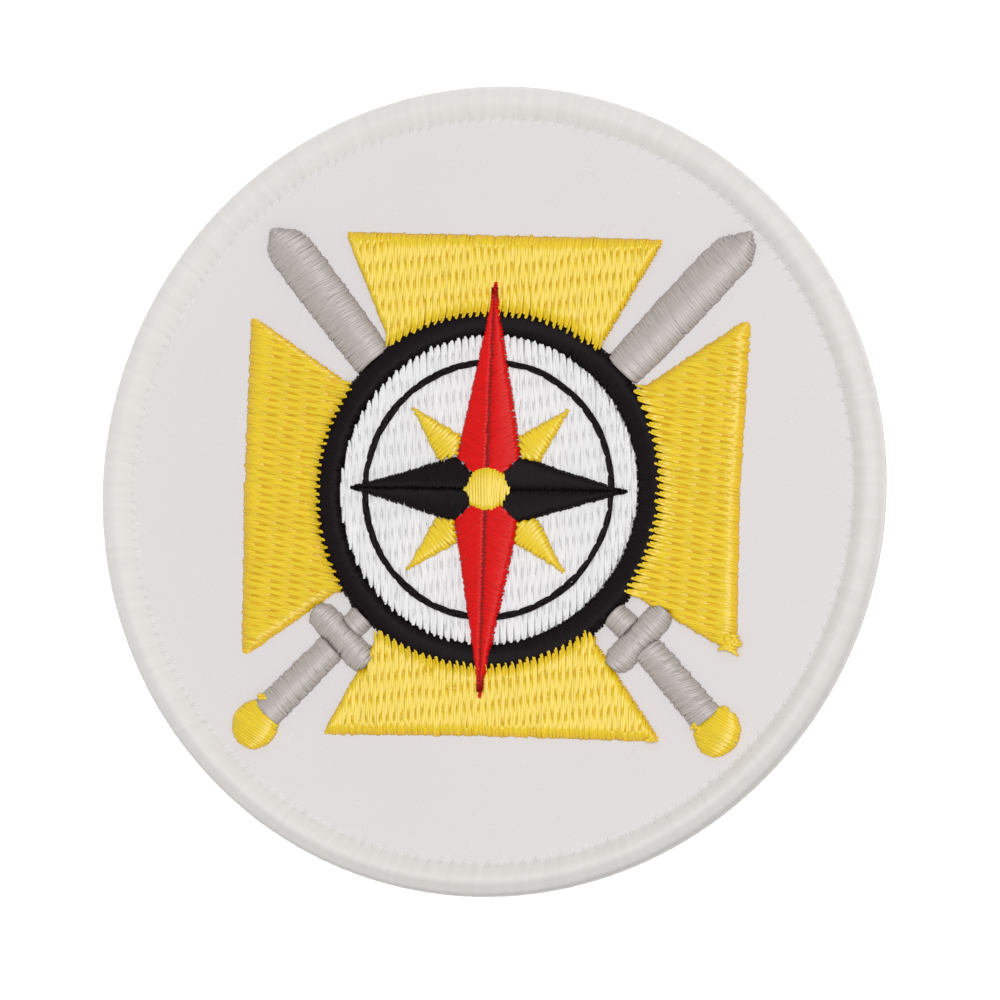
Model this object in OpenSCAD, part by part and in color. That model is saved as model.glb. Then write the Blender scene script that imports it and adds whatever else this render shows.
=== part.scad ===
// Round embroidered patch, lying on its back with its stitched face up.
// The origin is the middle of the flat back, and +Y points to the emblem's top.
// Each stitched piece is a raised block of thread, set stitch_gap apart from its neighbours.
// A column is a band of satin stitches with a crowned top; a fill is a flat block of them.

/* [Ground] */
// Diameter over the finished edge
patch_d = 76.2; // [70:0.1:90]
// Thickness of the twill with its stiffening
cloth_t = 1.0; // [1:0.1:1.4]
// Clearance between stitched pieces that meet
stitch_gap = 0.05; // [0.03:0.01:0.1]

/* [Border] */
// Width of the overlocked border seen from the front
border_w = 3.4; // [2.6:0.1:4]
// Width of the border seen from the back
under_w = 2.9; // [2.5:0.1:3.6]
// Thickness of the border from its underside to its crest
border_t = 2.1; // [1.8:0.1:3]
// Distance of the border's crest from its outer edge
crest_in = 1.4; // [1:0.1:1.8]
// Thickness of the border's inner edge, where its thread lies flat on the cloth
foot_t = 0.25; // [0.15:0.05:0.6]
// Thickness of the border's thread under the cloth
under_t = 0.4; // [0.3:0.05:0.5]
// Depth to which the cloth's rim reaches into the border
rim_depth = 2.2; // [1.2:0.1:2.4]

/* [Cross] */
// Reach of the cross's arms from the middle
arm_reach = 24; // [21:0.1:26]
// Half the width of an arm at its outer end
arm_end_w = 15.9; // [13:0.1:17]
// Half the width of an arm where it meets the round frame
arm_root_w = 10.2; // [8:0.1:11]
// Height of the filled stitching above the cloth
fill_t = 0.5; // [0.4:0.05:0.7]
// Width of the slope along the edges of the filled stitching
fill_slope = 0.25; // [0.1:0.05:0.4]

/* [Swords] */
// Room between the longer blade's tip and the border
sword_margin = 0.3; // [0.1:0.1:2]
// Full width of a blade at its widest
blade_w = 4.3; // [3.4:0.1:5]
// Mean length of blade that shows between frame and crossguard
forte_l = 1.4; // [1:0.1:2.4]
// Full width of that stretch
forte_w = 2.6; // [2:0.1:3.4]
// Length of a crossguard
guard_l = 7.1; // [6:0.1:8]
// Width of a crossguard along the sword
guard_w = 2.8; // [2:0.1:3]
// Full width of a grip at the crossguard
grip_w = 2.9; // [1.8:0.1:3.4]
// Full width of a grip at the pommel
grip_end_w = 3.2; // [2:0.1:3.6]
// Diameter of a pommel
pommel_d = 4.5; // [4:0.1:5.2]
// Height of the satin columns above the cloth
satin_t = 0.8; // [0.6:0.05:1]
// Height of a satin column's edge above the cloth
satin_edge_t = 0.3; // [0.2:0.05:0.4]

/* [Round frame] */
// Outer diameter of the round frame
frame_d = 34.2; // [31:0.1:36]
// Width of the round frame's satin band
frame_w = 2.75; // [1.8:0.05:3]
// Height of the round frame above the cloth
frame_t = 0.75; // [0.6:0.05:0.9]

/* [Star] */
// Reach of the two long points past the frame
long_over = 2.5; // [1.5:0.1:4]
// Room between the two middle points and the frame
mid_margin = 0.8; // [0.3:0.1:1.6]
// Room between the four short points and the thin stitched circle
short_margin = 0.85; // [0.5:0.05:2]
// Distance from the middle to the notch between two large points
waist_r = 4.4; // [3.8:0.1:5]
// Full width of a short point at its root
short_w = 4.6; // [3.6:0.1:5]
// Thickness of the star's edge over the frame's crest
star_edge_t = 0.15; // [0.1:0.05:0.3]
// Height of the star's ridge above its edge
ridge_t = 0.3; // [0.2:0.05:0.5]
// Diameter of the round hub
hub_d = 4.4; // [3.6:0.1:5]
// Height of the hub above the star's ridge
hub_over = 0.1; // [0.05:0.05:0.3]
// Diameter of the thin stitched circle, at its middle
line_d = 24; // [23:0.1:25]
// Width of the thin stitched circle
line_w = 0.7; // [0.5:0.05:0.9]
// Height of the thin stitched circle above the disc
line_t = 0.2; // [0.1:0.05:0.2]

/* [Hidden] */

patch_r = patch_d / 2;
field_r = patch_r - border_w;
rim_r = field_r + rim_depth;
crest_r = patch_r - crest_in;
back_r = patch_r - under_w - stitch_gap;
sword_r = field_r - sword_margin;
frame_r = frame_d / 2;
inside_r = frame_r - frame_w;
disc_r = inside_r - stitch_gap;
long_reach = frame_r + long_over;
mid_reach = inside_r - mid_margin;
line_r = line_d / 2;
short_reach = line_r - line_w / 2 - short_margin;

stitch_z = cloth_t + stitch_gap;
fill_top = stitch_z + fill_t;
frame_top = stitch_z + frame_t;
star_z = fill_top + stitch_gap;
star_edge_z = frame_top + stitch_gap + star_edge_t;
ridge_z = star_edge_z + ridge_t;
hub_z = ridge_z + hub_over;

pommel_r = pommel_d / 2;

// A length past every edge of the patch, and the length by which a piece overruns the
// edge that trims it
far = patch_d;
overrun = 0.4;
fine = 96;
crown_steps = 8;
border_steps = 12;

// How far the arms' sides are measured from the middle, as a share of the frame's radius
ROOT_SHARE = 0.815;
// How far the border's crest stands over its widest place, as a share of its thickness, and
// the power that makes its outer side squarer than an ellipse
ROLL_SHARE = 0.56;
ROLL_POWER = 0.8;
// The height that a column of no width would keep, as a share of a full column's
THIN_SHARE = 0.35;
// How far from its middle a pommel is cut flat against the grip, as a share of its radius
FLAT_SHARE = 0.75;
// Where a short point of the star is widest, as a share of waist_r
SHORT_WAIST = 0.75;

// Each arm: its name, the way it points in degrees, the reach of its outer corners to the
// left and right of that way and the outer edge's dip between them as shares of arm_reach,
// and the half widths to the left and right as shares of arm_end_w, then of arm_root_w
ARMS = [
    ["arm_top",     90, 1.010, 0.988,  0.000, 0.945, 1.010, 1.010, 1.028],
    ["arm_left",   180, 0.985, 1.003, -0.010, 1.023, 1.020, 0.915, 0.945],
    ["arm_bottom", 270, 0.967, 0.969,  0.008, 1.100, 0.966, 1.055, 1.010],
    ["arm_right",    0, 1.027, 1.018,  0.015, 1.043, 0.945, 0.925, 0.915]
];

// Each blade: its side, its bearings about the middle at its root and at its tip, and the
// tip's distance from the middle as a share of sword_r
BLADES = [
    ["right", 42.65, 44.85, 1.000],
    ["left", 134.5, 132.1, 0.957]
];

// Each hilt: its side, the bearings of its crossguard and its pommel, the pommel's reach from
// the middle as a share of sword_r, and the blade that shows above it as a share of forte_l
HILTS = [
    ["left", 225.4, 225.5, 0.98, 0.82],
    ["right", 317.7, 315.9, 0.99, 1.21]
];

// Outlines of columns. Each row: the place along it, and the half widths to the left and
// right of the way that it runs, as shares of the column's length and half width
BLADE_OUTLINES = [
    ["right", [
        [0.00, 0.88, 0.90], [0.20, 0.95, 0.98], [0.50, 1.00, 1.00], [0.75, 1.00, 0.97], [0.86, 0.95, 0.97],
        [0.89, 0.83, 0.94], [0.92, 0.62, 0.80], [0.96, 0.42, 0.56], [1.00, 0.10, 0.08]
    ]],
    ["left", [
        [0.00, 0.88, 0.90], [0.20, 0.95, 0.96], [0.50, 1.00, 1.00], [0.75, 1.00, 1.00], [0.83, 1.00, 0.95],
        [0.87, 0.98, 0.90], [0.91, 0.90, 0.74], [0.95, 0.68, 0.47], [1.00, 0.20, 0.05]
    ]]
];
STRAIGHT = [[0, 1, 1], [1, 1, 1]];
ROUND_ENDS = [
    [0.00, 0.62, 0.62], [0.06, 0.90, 0.90], [0.14, 1.00, 1.00],
    [0.86, 1.00, 1.00], [0.94, 0.90, 0.90], [1.00, 0.62, 0.62]
];

WHITE = "white";
OFF_WHITE = "gainsboro";
YELLOW = "gold";
SILVER = "silver";
BLACK = [0.1, 0.09, 0.1];
RED = "red";

function polar(r, bearing) = r * [cos(bearing), sin(bearing)];
function turned_left(way) = [-way.y, way.x];
function unit(v) = v / norm(v);
function row_of(table, name) = table[search([name], table)[0]];

// Where a column stands at each row of its outline: its middle, its side way, and its
// half widths to the left and right
function stations(from, to, outline, half_a, half_b, grow = 0) =
    let (way = unit(to - from), long = norm(to - from) + 2 * grow)
    [for (row = outline)
        let (half = half_a + (half_b - half_a) * row[0])
        [from + way * (row[0] * long - grow), turned_left(way), half * row[1] + grow, half * row[2] + grow]];

// The outline of a column on the cloth
function footprint(stops) = concat(
    [for (s = stops) s[0] - s[1] * s[3]],
    [for (i = [len(stops) - 1 : -1 : 0]) stops[i][0] + stops[i][1] * stops[i][2]]
);

// One section across a column: its two bottom corners and the crowned top between them
function crowned(stop, edge_z, crest_z) = concat(
    [for (p = [stop[0] - stop[1] * stop[3], stop[0] + stop[1] * stop[2]]) [p.x, p.y, stitch_z]],
    [for (k = [0 : crown_steps])
        let (a = 180 * k / crown_steps, p = stop[0] + stop[1] * cos(a) * (cos(a) > 0 ? stop[2] : stop[3]))
        [p.x, p.y, edge_z + (crest_z - edge_z) * sin(a)]]
);

// The faces of a loft through rings of n points: its two ends and the walls between
function loft_faces(rings, n) = concat(
    [[for (k = [0 : n - 1]) k], [for (k = [n - 1 : -1 : 0]) (rings - 1) * n + k]],
    [for (i = [0 : rings - 2]) for (k = [0 : n - 1]) for (upper = [0, 1])
        let (a = i * n + k, b = i * n + (k + 1) % n)
        upper == 0 ? [a, a + n, b] : [b, a + n, b + n]]
);

// A satin column. It gets lower where it gets narrow
module column(stops, half, height) {
    sections = [for (s = stops)
        let (low = min(1, THIN_SHARE + max(s[2], s[3]) / half))
        crowned(s, stitch_z + satin_edge_t * low, stitch_z + height * low)];
    polyhedron([for (s = sections) each s], loft_faces(len(stops), crown_steps + 3), convexity = 4);
}

// A fill over an outline given counter-clockwise, its edges sloping in
module fill(corners) {
    n = len(corners);
    function inward(i) = turned_left(unit(corners[(i + 1) % n] - corners[i]));
    inner = [for (i = [0 : n - 1])
        let (before = inward((i + n - 1) % n), after = inward(i))
        corners[i] + (before + after) * fill_slope / (1 + before * after)];
    polyhedron(
        concat([for (c = corners) [c.x, c.y, stitch_z]], [for (c = inner) [c.x, c.y, fill_top]]),
        concat(
            [[for (k = [0 : n - 1]) k], [for (k = [n - 1 : -1 : 0]) n + k]],
            [for (k = [0 : n - 1]) [k, n + k, n + (k + 1) % n, (k + 1) % n]]
        ),
        convexity = 4);
}

// A low round cap with a crowned top, standing at height z
module cap(r, z, edge_z, crest_z) {
    rotate_extrude($fn = fine) polygon(concat(
        [[0, z], [r, z]],
        [for (k = [0 : crown_steps - 1])
            let (a = 90 * k / crown_steps)
            [r * cos(a), edge_z + (crest_z - edge_z) * sin(a)]],
        [[0, crest_z]]
    ));
}

// The round frame's outside with the clearance that its neighbours keep
module frame_space() {
    cylinder(r = frame_r + stitch_gap, h = far, $fn = fine);
}

// The twill disc with its stiffening. Its back is flush with the border's underside, and
// its rim is thinner where the border's thread grips it
module ground_cloth() {
    color(WHITE) {
        cylinder(r = back_r, h = cloth_t, $fn = fine);
        translate([0, 0, under_t + stitch_gap])
            cylinder(r = rim_r, h = cloth_t - under_t - stitch_gap, $fn = fine);
    }
}

// The overlocked border: a thick roll of thread round the rim. It slopes up from the cloth to
// its crest, and is rounded outside, flat below, and open inside where the cloth's rim enters it
module border() {
    half_h = border_t * ROLL_SHARE;
    foot_z = stitch_z + foot_t;
    slot_r = rim_r + stitch_gap;
    // points up the inner slope, which is half a wave, to just before the crest
    slope = [for (k = [0 : border_steps - 1])
        let (share = k / border_steps)
        [field_r + (crest_r - field_r) * share, foot_z + (border_t - foot_z) * (1 - cos(180 * share)) / 2]];
    // points from the crest round the outside and down to the underside
    function squarer(v) = sign(v) * pow(abs(v), ROLL_POWER);
    roll = [for (k = [0 : border_steps])
        let (a = 90 - 180 * k / border_steps)
        [crest_r + crest_in * squarer(cos(a)), max(0, border_t - half_h + half_h * squarer(sin(a)))]];
    color(OFF_WHITE) rotate_extrude($fn = fine) polygon(concat(
        [[field_r, stitch_z]], slope, roll,
        [[patch_r - under_w, 0], [patch_r - under_w, under_t], [slot_r, under_t], [slot_r, stitch_z]]
    ));
}

// One arm of the cross, cut back clear of the frame and of both crossguards
module cross_arm(name) {
    row = row_of(ARMS, name);
    way = polar(1, row[1]);
    side = turned_left(way);
    root_at = frame_r * ROOT_SHARE;
    inner_at = inside_r * ROOT_SHARE;
    // the outer corner and the inner one on one side, where the inner one lies under the frame
    function outer(s) = [arm_reach * row[s > 0 ? 2 : 3], s * arm_end_w * row[s > 0 ? 5 : 6]];
    function root(s) = [root_at, s * arm_root_w * row[s > 0 ? 7 : 8]];
    function inner(s) = root(s) + (outer(s) - root(s)) * (inner_at - root_at) / (outer(s).x - root_at);
    middle = (outer(1) + outer(-1)) / 2 - [arm_reach * row[4], 0];
    color(YELLOW) difference() {
        fill([for (p = [inner(-1), outer(-1), middle, outer(1), inner(1)]) way * p.x + side * p.y]);
        frame_space();
        for (hilt = HILTS) guard_space(hilt[0]);
    }
}

// A blade, from the frame to its blunt tip
module blade(name) {
    row = row_of(BLADES, name);
    stops = stations(polar(frame_r - overrun, row[1]), polar(sword_r * row[3], row[2]),
        row_of(BLADE_OUTLINES, name)[1], blade_w / 2, blade_w / 2);
    color(SILVER) difference() {
        column(stops, blade_w / 2, satin_t);
        frame_space();
    }
}

// The middle of a crossguard, the middle of a pommel, and a crossguard's outline
function guard_mid(name) =
    let (row = row_of(HILTS, name))
    polar(frame_r + 2 * stitch_gap + forte_l * row[4] + guard_w / 2, row[1]);
function pommel_mid(name) = polar(sword_r * row_of(HILTS, name)[3] - pommel_r, row_of(HILTS, name)[2]);
function guard_stops(name, grow = 0) =
    let (mid = guard_mid(name), across = turned_left(unit(mid)) * guard_l / 2)
    stations(mid - across, mid + across, ROUND_ENDS, guard_w / 2, guard_w / 2, grow);

module guard(name) {
    color(SILVER) column(guard_stops(name), guard_w / 2, satin_t);
}

// A crossguard's outline with the clearance that its neighbours keep
module guard_space(name) {
    linear_extrude(far) polygon(footprint(guard_stops(name, stitch_gap)));
}

// The short stretch of blade between the frame and the crossguard
module forte(name) {
    bearing = row_of(HILTS, name)[1];
    stops = stations(polar(frame_r - overrun, bearing), guard_mid(name), STRAIGHT, forte_w / 2, forte_w / 2);
    color(SILVER) difference() {
        column(stops, forte_w / 2, satin_t);
        frame_space();
        guard_space(name);
    }
}

// A grip, widening from the crossguard to the pommel's flat
module grip(name) {
    way = unit(pommel_mid(name) - guard_mid(name));
    end = pommel_mid(name) - way * (pommel_r * FLAT_SHARE + stitch_gap);
    stops = stations(guard_mid(name), end, STRAIGHT, grip_w / 2, grip_end_w / 2);
    color(SILVER) difference() {
        column(stops, grip_end_w / 2, satin_t);
        guard_space(name);
    }
}

// A pommel: a round cap of satin, cut flat against the grip's end
module pommel(name) {
    mid = pommel_mid(name);
    way = mid - guard_mid(name);
    color(YELLOW) difference() {
        translate(mid) cap(pommel_r, stitch_z, stitch_z + satin_edge_t, stitch_z + satin_t);
        translate(mid) rotate(atan2(way.y, way.x))
            translate([-pommel_r * FLAT_SHARE - far, -far / 2, 0]) cube([far, far, far]);
    }
}

// The frame's satin band, crowned across its width
module round_frame() {
    middle = frame_r - frame_w / 2;
    edge_z = stitch_z + satin_edge_t;
    color(BLACK) rotate_extrude($fn = fine) polygon(concat(
        [[frame_r, stitch_z]],
        [for (k = [0 : crown_steps])
            let (a = 180 * k / crown_steps)
            [middle + frame_w / 2 * cos(a), edge_z + (frame_top - edge_z) * sin(a)]],
        [[inside_r, stitch_z]]
    ));
}

// The filled disc inside the frame
module disc() {
    color(WHITE) translate([0, 0, stitch_z]) cylinder(r = disc_r, h = fill_t, $fn = fine);
}

// The room that the star's points leave for a ring beneath them
module ring_space(inner_r, outer_r, top) {
    rotate_extrude($fn = fine)
        translate([inner_r - stitch_gap, 0])
            square([outer_r - inner_r + 2 * stitch_gap, top + stitch_gap]);
}

// One point of the star: a kite from the middle to its tip, its edges at edge_z and its
// ridge falling from crest_z at the middle to the edge's height at the tip
module kite(reach, waist, half, edge_z, crest_z) {
    polyhedron([
        [0, 0, star_z], [waist, -half, star_z], [reach, 0, star_z], [waist, half, star_z],
        [0, 0, crest_z], [waist, -half, edge_z], [reach, 0, edge_z], [waist, half, edge_z]
    ], [
        [0, 1, 2, 3], [4, 6, 5], [4, 7, 6],
        [0, 4, 5, 1], [1, 5, 6, 2], [2, 6, 7, 3], [3, 7, 4, 0]
    ], convexity = 2);
}

// A large point: it rises over the thin circle and the frame, and stops at the hub
module large_point(bearing, reach, colour) {
    waist = waist_r * cos(45);
    color(colour) difference() {
        rotate(bearing) intersection() {
            kite(reach, waist, waist, star_edge_z, ridge_z);
            translate([stitch_gap * cos(45), 0, 0]) rotate(-45) cube([far, far, far]);
        }
        cylinder(d = hub_d + 2 * stitch_gap, h = far, $fn = fine);
        ring_space(inside_r, frame_r, frame_top);
        ring_space(line_r - line_w / 2, line_r + line_w / 2, star_z + line_t);
    }
}

// A short point lies between two large ones, cut back clear of both
module short_point(bearing) {
    waist = waist_r * SHORT_WAIST;
    edge_z = star_z + satin_edge_t;
    color(YELLOW) difference() {
        rotate(bearing) kite(short_reach, waist, short_w / 2, edge_z, edge_z + ridge_t);
        large_space(bearing - 45);
        large_space(bearing + 45);
    }
}

// A large point's outline with the clearance that a short one keeps
module large_space(bearing) {
    reach = abs(sin(bearing)) > 0.5 ? long_reach : mid_reach;
    waist = waist_r * cos(45);
    slant = unit([waist, reach - waist]) * stitch_gap;
    rotate(bearing) linear_extrude(far) polygon([
        [-stitch_gap, 0], [waist, -waist] + [slant.x, -slant.y], [reach, 0] + [slant.x, -slant.y],
        [reach, 0] + slant, [waist, waist] + slant
    ]);
}

// The hub covers the stitches' ends at the middle
module hub() {
    color(YELLOW) cap(hub_d / 2, star_z, ridge_z, hub_z);
}

// The thin circle of running stitch on the disc
module circle_line() {
    color(BLACK) translate([0, 0, star_z]) difference() {
        cylinder(r = line_r + line_w / 2, h = line_t, $fn = fine);
        translate([0, 0, -stitch_gap]) cylinder(r = line_r - line_w / 2, h = far, $fn = fine);
    }
}

ground_cloth();
border();
for (row = ARMS) cross_arm(row[0]);
for (side = ["left", "right"]) {
    blade(side);
    forte(side);
    guard(side);
    grip(side);
    pommel(side);
}
round_frame();
disc();
large_point(90, long_reach, RED);  // star_north
large_point(270, long_reach, RED);  // star_south
large_point(0, mid_reach, BLACK);  // star_east
large_point(180, mid_reach, BLACK);  // star_west
short_point(45);  // star_ne
short_point(135);  // star_nw
short_point(225);  // star_sw
short_point(315);  // star_se
hub();
circle_line();
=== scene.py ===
import bpy
import numpy as np
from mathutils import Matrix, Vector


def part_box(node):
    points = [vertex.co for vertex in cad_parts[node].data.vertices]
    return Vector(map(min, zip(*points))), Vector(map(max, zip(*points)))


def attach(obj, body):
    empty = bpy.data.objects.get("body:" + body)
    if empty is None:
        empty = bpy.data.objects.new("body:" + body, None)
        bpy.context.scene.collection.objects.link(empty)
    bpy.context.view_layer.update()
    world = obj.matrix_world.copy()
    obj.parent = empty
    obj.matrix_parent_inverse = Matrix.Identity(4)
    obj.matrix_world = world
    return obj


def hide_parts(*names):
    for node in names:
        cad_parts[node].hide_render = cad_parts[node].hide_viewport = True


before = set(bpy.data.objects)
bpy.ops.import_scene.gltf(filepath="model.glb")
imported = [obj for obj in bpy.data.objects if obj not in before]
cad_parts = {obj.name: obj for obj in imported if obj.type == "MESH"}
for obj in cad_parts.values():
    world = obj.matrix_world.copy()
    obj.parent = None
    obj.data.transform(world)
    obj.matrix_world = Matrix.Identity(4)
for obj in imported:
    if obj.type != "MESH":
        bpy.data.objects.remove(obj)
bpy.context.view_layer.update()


# The ground cloth
# A disc of white polyester twill with its stiffening, smooth on the face and sealed flat on
# the back. Everything is stitched through it, and the border's yarn grips its thinner rim.
MM = 0.001


def box_mm(node):
    """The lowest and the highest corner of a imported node, in millimetres."""
    low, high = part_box(node)
    return np.array(low) / MM, np.array(high) / MM


def linear(red, green, blue):
    """A colour as a screen shows it, 0 to 255, turned into the linear values that a shader
    takes: below the knee a straight line, above it the power 2.4."""
    seen = np.array([red, green, blue]) / 255
    light = np.where(seen < 0.04045, seen / 12.92, ((seen + 0.055) / 1.055) ** 2.4)
    return (*light, 1.0)


def set_inputs(tree, node, inputs):
    """Give a node its inputs, by name or number: each is a value or another node's output."""
    for key, value in inputs.items():
        if isinstance(value, bpy.types.NodeSocket):
            tree.links.new(value, node.inputs[key])
        else:
            node.inputs[key].default_value = value


def shader_node(tree, kind, inputs=None, **settings):
    """A node of one kind with its settings and its inputs."""
    made = tree.nodes.new(kind)
    for key, value in settings.items():
        setattr(made, key, value)
    set_inputs(tree, made, inputs or {})
    return made


def maths(tree, operation, *values):
    """The output of one Math node."""
    return shader_node(tree, "ShaderNodeMath", dict(enumerate(values)), operation=operation).outputs[0]


def noise(tree, place, scale, detail):
    """The value of a noise texture, about 0.5 in the mean."""
    inputs = {"Vector": place, "Scale": scale, "Detail": detail}
    return shader_node(tree, "ShaderNodeTexNoise", inputs).outputs[0]


def blend(tree, share, first, second):
    """The colour at a share of the way from the first to the second."""
    inputs = {0: share, 6: first, 7: second}
    return shader_node(tree, "ShaderNodeMix", inputs, data_type="RGBA", clamp_factor=True).outputs[2]


def new_material(name):
    """An empty node material and its Principled shader."""
    material = bpy.data.materials.new(name)
    material.use_nodes = True
    return material.node_tree, material.node_tree.nodes["Principled BSDF"], material


def grid_quads(rows, columns, closed_rows=False, closed_columns=False):
    """The quads of a grid of points numbered row by row: each joins a point to the next one
    in its row and to both in the next row, and a closed direction runs round to its start."""
    row = np.arange(rows if closed_rows else rows - 1)[:, None]
    column = np.arange(columns if closed_columns else columns - 1)[None]
    after_row, after_column = (row + 1) % rows, (column + 1) % columns
    corners = [row * columns + column, row * columns + after_column,
               after_row * columns + after_column, after_row * columns + column]
    return np.stack(corners, -1).reshape(-1, 4)


def piece(name, parts, material, slot, *nodes):
    """One mesh object from parts, each a dict with points in millimetres, quads, triangles,
    uv, and the tone and painted shade of each point. It rides on the only body and replaces nodes."""
    sizes = np.cumsum([0] + [len(part["points"]) for part in parts])
    quads = np.concatenate([part["quads"] + first for part, first in zip(parts, sizes)])
    triangles = np.concatenate([part["triangles"].reshape(-1, 3) + first
                                for part, first in zip(parts, sizes)])
    points, uv, tone, painted_shade = (np.concatenate([part[key] for part in parts])
                              for key in ("points", "uv", "tone", "painted_shade"))
    corners = np.concatenate([quads.ravel(), triangles.ravel()]).astype(np.int32)
    counts = np.repeat([4, 3], [len(quads), len(triangles)])
    mesh = bpy.data.meshes.new(name)
    mesh.vertices.add(len(points))
    mesh.vertices.foreach_set("co", (points * MM).astype(np.float32).ravel())
    mesh.loops.add(len(corners))
    mesh.loops.foreach_set("vertex_index", corners)
    mesh.polygons.add(len(counts))
    mesh.polygons.foreach_set("loop_start", (np.cumsum(counts) - counts).astype(np.int32))
    mesh.polygons.foreach_set("use_smooth", np.ones(len(counts), bool))
    mesh.uv_layers.new(name="UVMap").data.foreach_set("uv", uv[corners].astype(np.float32).ravel())
    for key, values in (("tone", tone), ("painted_shade", painted_shade)):
        mesh.attributes.new(key, "FLOAT", "POINT").data.foreach_set("value", values.astype(np.float32))
    mesh.update(calc_edges=True)
    mesh.materials.append(material)
    made = bpy.data.objects.new(name, mesh)
    bpy.context.scene.collection.objects.link(made)
    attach(made, "root")
    if nodes:
        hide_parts(*nodes)
    return made


CLOTH_TOP = box_mm("ground_cloth")[1][2]
RIM_R = box_mm("ground_cloth")[1][0]
BACK_R = 35.15          # the stiffening's edge, inside the yarn that is turned under
RIM_LOW = 0.45          # the underside of the rim that the border grips
PUCKER = 0.035          # how far the stitching draws the cloth down
CLOTH_SPOKES = 360
CLOTH_RINGS = 56


def puckered(x, y):
    """How far the face lies under its level: half the pucker's depth, and a third of it times
    the product of two slow waves plus half of a third wave that runs at an angle."""
    slow = np.sin(x * 0.31 + 0.6) * np.sin(y * 0.27 - 0.4) + 0.5 * np.sin(x * 0.53 - y * 0.61)
    return PUCKER * (0.5 + 0.33 * slow)


def cloth_surface():
    """A profile turned round the middle: out over the face, down the rim, in under it, down
    the backing's edge and in to the middle. The face lies lower where it is puckered."""
    face = np.linspace(0, RIM_R, CLOTH_RINGS + 1)[1:]
    under = [(RIM_R, RIM_LOW), (BACK_R, RIM_LOW), (BACK_R, 0.0), (BACK_R * 0.5, 0.0), (0.4, 0.0)]
    radius = np.concatenate([face, [r for r, _ in under]])
    level = np.concatenate([np.full(len(face), CLOTH_TOP), [z for _, z in under]])
    angle = np.linspace(0, 2 * np.pi, CLOTH_SPOKES, endpoint=False)[:, None]
    x, y = radius * np.cos(angle), radius * np.sin(angle)
    on_face = np.arange(len(radius)) < CLOTH_RINGS - 1
    z = level - puckered(x, y) * np.where(on_face, np.clip((BACK_R - 1 - radius) / 2, 0, 1), 0)
    points = np.stack([x, y, z], -1).reshape(-1, 3)
    poles = np.array([[0, 0, CLOTH_TOP - puckered(0, 0)], [0, 0, 0]])
    rings, count = len(radius), len(points)
    this = np.arange(CLOTH_SPOKES)
    after = (this + 1) % CLOTH_SPOKES
    fans = [np.stack([np.full(CLOTH_SPOKES, count), this * rings, after * rings], -1),
            np.stack([np.full(CLOTH_SPOKES, count + 1), after * rings + rings - 1,
                      this * rings + rings - 1], -1)]
    points = np.concatenate([points, poles])
    return {"points": points, "quads": grid_quads(CLOTH_SPOKES, rings, closed_rows=True),
            "triangles": np.concatenate(fans), "uv": points[:, :2],
            "tone": np.full(len(points), 0.5), "painted_shade": np.zeros(len(points))}


def twill_material():
    """White twill: ridges of yarn across the diagonal, each broken by the floats that cross
    it, fine fibre noise over both, a trace of warm and cool in the dye, and painted glints:
    bright specks painted where the noise peaks, for filaments that catch the light."""
    tree, shader, material = new_material("white_twill")
    place = shader_node(tree, "ShaderNodeTexCoord").outputs["Object"]
    split = shader_node(tree, "ShaderNodeSeparateXYZ", {0: place})
    diagonal = maths(tree, "ADD", split.outputs[0], split.outputs[1])
    crossing = maths(tree, "SUBTRACT", split.outputs[0], split.outputs[1])
    ridge = maths(tree, "SINE", maths(tree, "MULTIPLY", diagonal, 2 * np.pi / (0.34 * MM)))
    floats = maths(tree, "SINE", maths(tree, "MULTIPLY", crossing, 2 * np.pi / (0.26 * MM)))
    weave = maths(tree, "MULTIPLY_ADD", ridge, 0.35, maths(tree, "MULTIPLY", floats, 0.2))
    height = maths(tree, "MULTIPLY_ADD", noise(tree, place, 5200, 3), 1.1, weave)
    bump = shader_node(tree, "ShaderNodeBump", {"Height": height, "Strength": 0.5, "Distance": 0.006 * MM})
    dye = blend(tree, noise(tree, place, 70, 2), linear(230, 226, 226), linear(233, 229, 229))
    grain = noise(tree, place, 7500, 0)
    # Painted glints: bright specks where the fine noise peaks
    painted_glint = shader_node(tree, "ShaderNodeMapRange", {0: grain, 1: 0.75, 2: 0.88, 3: 0.0, 4: 1.0})
    set_inputs(tree, shader, {
        "Base Color": blend(tree, painted_glint.outputs[0], dye, linear(247, 245, 244)), "Normal": bump.outputs[0],
        "Roughness": 0.72, "Specular IOR Level": 0.3, "Sheen Weight": 0.1, "Sheen Roughness": 0.4})
    return material


cloth = piece("twill_disc", [cloth_surface()], twill_material(), "twill_white", "ground_cloth")


# The cross
# Four arms of filled stitching in bright yellow polyester thread. Rows of thread run the same
# way across an arm, each sewn down every few millimetres, so the needle's holes lie like the
# joints of brickwork. The upper and lower arms are sewn up and down, the side arms nearly level.
FRAME_R = box_mm("round_frame")[1][0]
# How far an arm reaches from the middle, its half width at its end and at its root, and how far
# out the root lies
ARM_REACH, ARM_END, ARM_ROOT = 24.0, 15.9, 10.2
ROOT_AT = 0.815 * FRAME_R
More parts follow.
